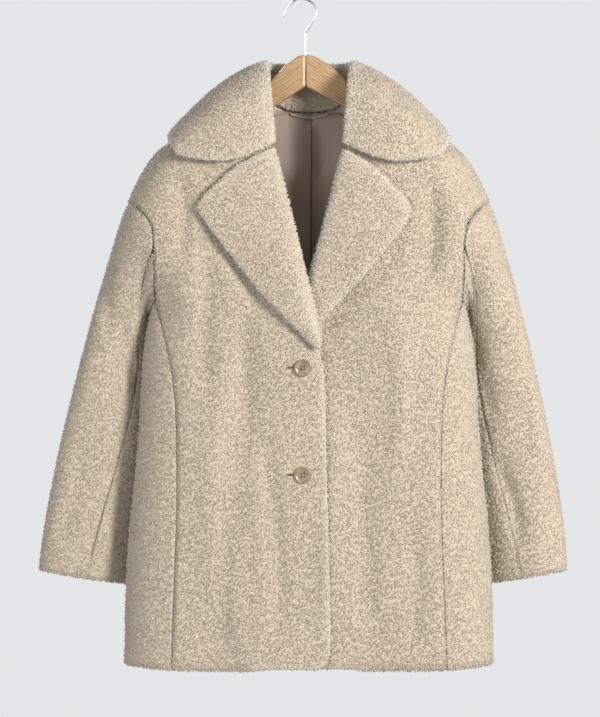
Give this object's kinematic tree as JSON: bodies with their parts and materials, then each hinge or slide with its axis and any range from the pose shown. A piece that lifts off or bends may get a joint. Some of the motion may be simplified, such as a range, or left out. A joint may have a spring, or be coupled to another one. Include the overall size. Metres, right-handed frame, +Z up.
{
  "type": "faux fur coat on a wooden hanger",
  "caption": "Hip-length faux fur coat with a notched collar, lapels, long sleeves and a buttoned front, hanging on a wooden hanger with a wire hook.",
  "frame": {"origin": "inside of the crown of the hanger's hook, where a rail or peg bears", "axes": "+Z up, the coat faces -Y, +X towards the wearer's left"},
  "size_m": [0.723, 0.1528, 0.9162],
  "materials": {
    "fur": "short dense faux fur pile, matte, beige",
    "lining": "taupe satin lining with a soft sheen",
    "button": "taupe moulded four-hole buttons",
    "wood": "clear-finished pale pine",
    "steel": "bright thin steel wire"
  },
  "bodies": {
    "root": {"back": "fur", "front_right": "fur", "front_left": "fur", "side_panel_right": "fur", "side_panel_left": "fur", "sleeve_upper_right": "fur", "sleeve_upper_left": "fur", "sleeve_under_right": "fur", "sleeve_under_left": "fur", "lapel_right": "fur", "lapel_left": "fur", "collar": "fur", "lining_back_right": "lining", "lining_back_left": "lining", "hanging_loop": "lining", "button_1": "button", "button_2": "button", "hanger_arm_right": "wood", "hanger_arm_left": "wood", "hook": "steel"}
  },
  "joints": []
}
